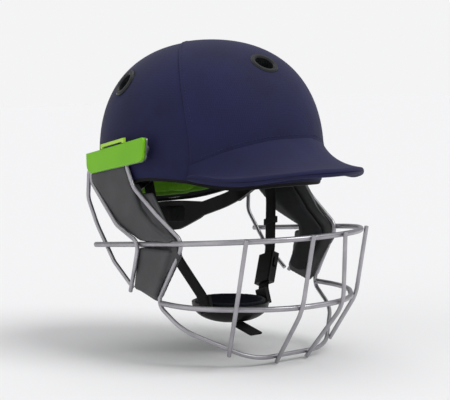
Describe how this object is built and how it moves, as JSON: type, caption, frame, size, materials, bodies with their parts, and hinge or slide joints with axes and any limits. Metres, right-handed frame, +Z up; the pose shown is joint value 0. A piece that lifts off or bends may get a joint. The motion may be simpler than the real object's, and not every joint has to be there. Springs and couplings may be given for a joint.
{
  "type": "cricket helmet",
  "caption": "Cloth-covered batting helmet with a flared peak, a welded wire faceguard on side plates, cheek pads, chin strap with cup, and a dial-fitted nape cradle",
  "frame": {"origin": "centre of the head opening, at the height of the front rim", "axes": "+Z up, the wearer looks along -Y, +X is the wearer's left"},
  "size_m": [0.2178, 0.3087, 0.3001],
  "materials": {
    "navy_cloth": "fine woven navy cloth glued over the shell",
    "black_binding": "black woven edge tape",
    "shell_plastic": "moulded shell plastic, hidden by the cloth",
    "vent_plastic": "dark grey moulded plastic",
    "liner_foam": "dark lime impact foam with a cloth face",
    "green_cloth": "dark lime padded cloth",
    "stud_steel": "turned steel",
    "satin_wire": "satin grey wire, welded",
    "plate_steel": "pressed steel strip",
    "green_plastic": "bright green moulded plastic",
    "lime_plastic": "lime moulded plastic",
    "grey_pad": "moulded grey foam with a smooth skin",
    "grey_foam": "grey cloth over soft foam",
    "black_webbing": "black woven webbing",
    "black_plastic": "black moulded plastic",
    "cup_cloth": "dark padded cloth"
  },
  "bodies": {
    "helmet": {"shell": "shell_plastic", "rear_panel": "navy_cloth", "front_panel": "navy_cloth", "brow_panel": "navy_cloth", "peak_core": "shell_plastic", "peak_cover": "navy_cloth", "peak_lining": "navy_cloth", "rim_binding": "black_binding", "front_vent": "vent_plastic", "left_rear_vent": "vent_plastic", "right_rear_vent": "vent_plastic", "foam_liner": "liner_foam", "brow_pad": "green_cloth", "nape_pad": "green_cloth", "crown_pad": "green_cloth", "left_side_pad": "green_cloth", "right_side_pad": "green_cloth", "guard_studs": "stud_steel", "stud_nuts": "stud_steel", "strap_anchors": "stud_steel", "temple_studs": "stud_steel"},
    "faceguard": {"top_bar": "satin_wire", "mid_bar": "satin_wire", "frame_wire": "satin_wire", "left_rear_wire": "satin_wire", "right_rear_wire": "satin_wire", "left_loop_wire": "satin_wire", "right_loop_wire": "satin_wire", "left_outer_upright": "satin_wire", "right_outer_upright": "satin_wire", "left_inner_upright": "satin_wire", "right_inner_upright": "satin_wire", "left_side_plate": "plate_steel", "right_side_plate": "plate_steel", "left_plate_cover": "green_plastic", "right_plate_cover": "green_plastic", "left_plate_tab": "lime_plastic", "right_plate_tab": "lime_plastic", "left_cheek_pad": "grey_pad", "right_cheek_pad": "grey_pad", "left_cheek_foam": "grey_foam", "right_cheek_foam": "grey_foam"},
    "chin_strap": {"right_strap": "black_webbing", "left_upper_strap": "black_webbing", "left_lower_strap": "black_webbing", "buckle_socket": "black_plastic", "buckle_tongue": "black_plastic", "strap_keeper": "black_webbing", "chin_cup": "black_plastic", "cup_liner": "cup_cloth", "strap_tail": "black_webbing"},
    "front_tab": {"front_release_tab": "black_plastic"},
    "rear_tab": {"rear_release_tab": "black_plastic"},
    "headband": {"left_headband_arm": "black_plastic", "right_headband_arm": "black_plastic"},
    "cradle": {"nape_cradle": "black_plastic", "cradle_rivets": "stud_steel", "cradle_cushion": "cup_cloth", "dial_housing": "black_plastic"},
    "dial": {"dial_knob": "black_plastic"}
  },
  "joints": [
    {"name": "guard_tilt", "type": "hinge", "parent": "helmet", "child": "faceguard", "pos_m": [0, -0.028, 0.035], "axis": [-1, 0, 0], "range_deg": [0, 6]},
    {"name": "chin_strap_swing", "type": "hinge", "parent": "helmet", "child": "chin_strap", "pos_m": [0, 0.008, 0.024], "axis": [1, 0, 0], "range_deg": [-6, 14]},
    {"name": "front_release", "type": "slide", "parent": "chin_strap", "child": "front_tab", "axis": [0, 0.9574, -0.2886], "range_m": [0, 0.002], "stiffness_N_per_m": 200},
    {"name": "rear_release", "type": "slide", "parent": "chin_strap", "child": "rear_tab", "axis": [0, -0.9574, 0.2886], "range_m": [0, 0.002], "stiffness_N_per_m": 200},
    {"name": "headband_tilt", "type": "hinge", "parent": "helmet", "child": "headband", "pos_m": [0, -0.01, 0.011], "axis": [-1, 0, 0], "range_deg": [0, 12]},
    {"name": "cradle_slide", "type": "slide", "parent": "headband", "child": "cradle", "axis": [0, -0.8768, 0.4808], "range_m": [0, 0.01]},
    {"name": "dial_turn", "type": "hinge", "parent": "cradle", "child": "dial", "pos_m": [0, 0.101, -0.043], "axis": [0, 1, 0], "range_deg": [0, 143.24]}
  ],
  "couplings": [
    {"joint": "dial_turn", "follows": "cradle_slide", "rad_per_m": 250},
    {"joint": "rear_release", "follows": "front_release", "ratio": 1}
  ]
}
